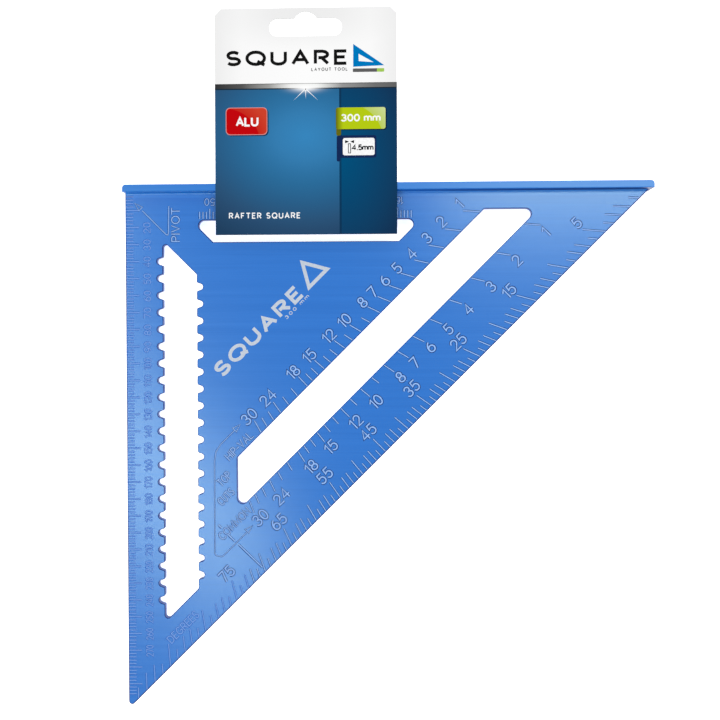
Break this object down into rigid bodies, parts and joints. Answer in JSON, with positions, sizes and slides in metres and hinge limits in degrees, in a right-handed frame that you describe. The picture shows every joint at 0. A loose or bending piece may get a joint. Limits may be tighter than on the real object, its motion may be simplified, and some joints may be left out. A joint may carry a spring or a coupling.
{
  "type": "speed square",
  "caption": "Right-triangle rafter square: a flat aluminium blade with a cross fence, notched scribing window and two slots, with a folded display card through its hand slot.",
  "frame": {"origin": "pivot corner, where the blade's straight edge meets the fence's inner face, on the blade's middle plane", "axes": "+X along the fence away from the pivot, +Y out through the fence, +Z out of the blade's marked face"},
  "size_m": [0.3066, 0.4067, 0.0206],
  "materials": {
    "anodised_blue": "horizontally brushed, blue anodised",
    "printed_card": "laminated printed board",
    "clear_glue": "dried adhesive"
  },
  "bodies": {
    "square": {"square_body": "anodised_blue"},
    "card": {"header_card": "printed_card", "glue_strip": "clear_glue"}
  },
  "joints": [
    {"name": "card_slide", "type": "slide", "parent": "square", "child": "card", "axis": [1, 0, 0], "range_m": [-0.0105, 0.0083]}
  ]
}
